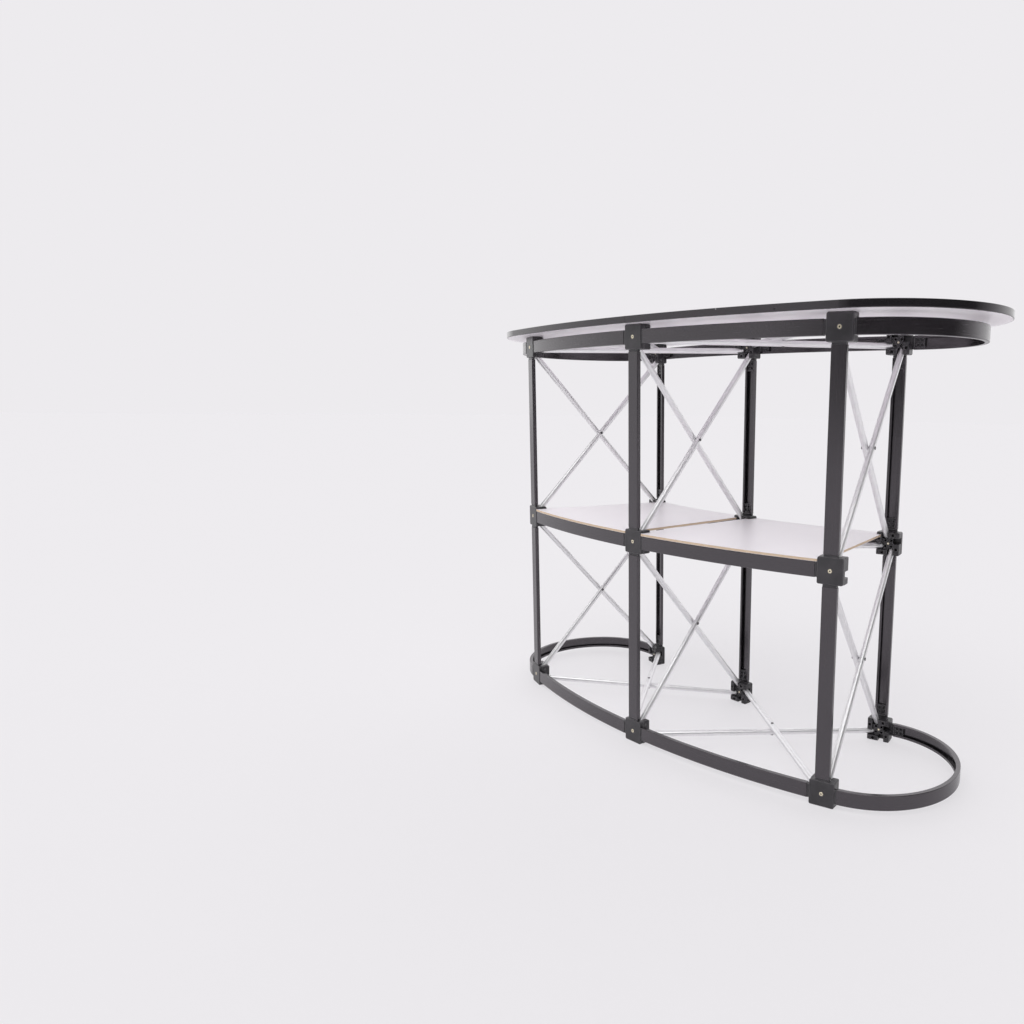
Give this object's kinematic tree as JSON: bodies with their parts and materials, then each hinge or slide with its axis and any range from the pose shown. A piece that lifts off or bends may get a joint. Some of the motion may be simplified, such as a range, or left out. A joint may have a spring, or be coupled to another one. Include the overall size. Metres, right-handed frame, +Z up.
{
  "type": "promotion counter",
  "caption": "Free-standing promotion counter: scissor-tube frame with square hubs, black channel bars, round ends, loose shelves and a hinged two-piece top.",
  "frame": {"origin": "on the floor, below the middle of the counter's outline", "axes": "+X along the counter, +Y from the curved front to the open service side, +Z up"},
  "size_m": [1.295, 0.4774, 0.8848],
  "materials": {
    "bar_black": "satin black",
    "hub_plastic": "matte moulded black",
    "tube_aluminium": "bright drawn",
    "rivet_metal": "dull zinc",
    "fastener_metal": "yellowish zinc",
    "hinge_metal": "satin",
    "top_board": "white melamine",
    "edge_band": "gloss black",
    "shelf_board": "white faced, bare edges"
  },
  "bodies": {
    "frame": {"bar_end_plugs": "hub_plastic", "hub_cores_back_centre": "hub_plastic", "hub_cores_back_left": "hub_plastic", "hub_cores_back_right": "hub_plastic", "hub_cores_front_centre": "hub_plastic", "hub_cores_front_left": "hub_plastic", "hub_cores_front_right": "hub_plastic", "hub_covers_back": "hub_plastic", "hub_covers_front": "hub_plastic", "hub_screws": "fastener_metal", "rail_back_left_middle": "bar_black", "rail_back_left_top": "bar_black", "rail_back_right_middle": "bar_black", "rail_back_right_top": "bar_black", "rail_end_left_bottom": "bar_black", "rail_end_left_top": "bar_black", "rail_end_right_bottom": "bar_black", "rail_end_right_top": "bar_black", "rail_front_left_bottom": "bar_black", "rail_front_left_middle": "bar_black", "rail_front_left_top": "bar_black", "rail_front_right_bottom": "bar_black", "rail_front_right_middle": "bar_black", "rail_front_right_top": "bar_black", "scissor_bottom_left": "tube_aluminium", "scissor_bottom_right": "tube_aluminium", "scissor_centre_lower": "tube_aluminium", "scissor_centre_upper": "tube_aluminium", "scissor_left_lower": "tube_aluminium", "scissor_left_upper": "tube_aluminium", "scissor_middle_left": "tube_aluminium", "scissor_middle_right": "tube_aluminium", "scissor_right_lower": "tube_aluminium", "scissor_right_upper": "tube_aluminium", "scissor_rivets": "rivet_metal", "scissor_top_left": "tube_aluminium", "scissor_top_right": "tube_aluminium", "tube_end_pins": "fastener_metal", "upright_back_centre_lower": "bar_black", "upright_back_centre_upper": "bar_black", "upright_back_left_lower": "bar_black", "upright_back_left_upper": "bar_black", "upright_back_right_lower": "bar_black", "upright_back_right_upper": "bar_black", "upright_front_centre_lower": "bar_black", "upright_front_centre_upper": "bar_black", "upright_front_left_lower": "bar_black", "upright_front_left_upper": "bar_black", "upright_front_right_lower": "bar_black", "upright_front_right_upper": "bar_black"},
    "left_top": {"tabletop_left": "top_board", "tabletop_edge_left": "edge_band", "hinge_leaves_left": "hinge_metal", "hinge_pins": "hinge_metal"},
    "right_top": {"tabletop_right": "top_board", "tabletop_edge_right": "edge_band", "hinge_leaves_right": "hinge_metal"},
    "left_shelf": {"shelf_left": "shelf_board"},
    "right_shelf": {"shelf_right": "shelf_board"}
  },
  "joints": [
    {"name": "tabletop_lift", "type": "slide", "parent": "frame", "child": "left_top", "axis": [0, 0, 1], "range_m": [0, 0.3]},
    {"name": "tabletop_fold", "type": "hinge", "parent": "left_top", "child": "right_top", "pos_m": [0, 0, 0.88255], "axis": [0, -1, 0], "range_deg": [0, 180]},
    {"name": "shelf_left_lift", "type": "slide", "parent": "frame", "child": "left_shelf", "axis": [0, 0, 1], "range_m": [0, 0.3]},
    {"name": "shelf_right_lift", "type": "slide", "parent": "frame", "child": "right_shelf", "axis": [0, 0, 1], "range_m": [0, 0.3]}
  ]
}
